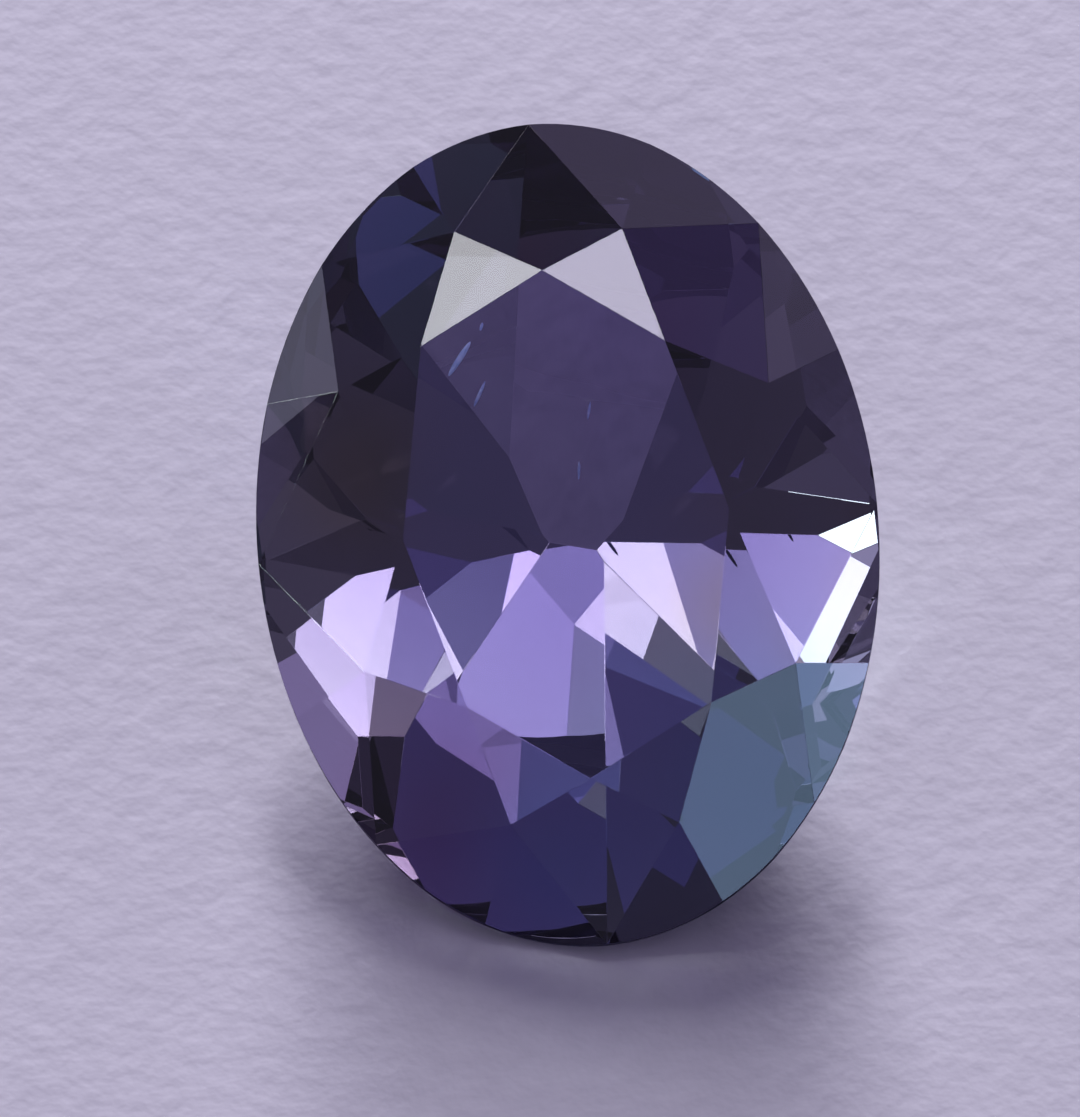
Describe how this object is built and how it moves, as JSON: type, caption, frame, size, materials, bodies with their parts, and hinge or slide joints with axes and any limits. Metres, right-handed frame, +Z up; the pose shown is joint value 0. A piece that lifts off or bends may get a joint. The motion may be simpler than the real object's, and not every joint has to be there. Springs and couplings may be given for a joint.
{
  "type": "oval faceted tanzanite gemstone",
  "caption": "Loose oval faceted violet-blue gemstone with a brilliant crown and a keeled pavilion, lying tipped back on one flat pavilion facet.",
  "frame": {"origin": "centre of the stone's box, on the surface that it lies on", "axes": "+Z up from that surface, +Y towards the raised end of the stone, table facing -Y and up"},
  "size_m": [0.006, 0.0066, 0.0048],
  "materials": {
    "tanzanite_crystal": "polished flat facets, clear violet-blue crystal"
  },
  "bodies": {
    "root": {"tanzanite": "tanzanite_crystal"}
  },
  "joints": []
}
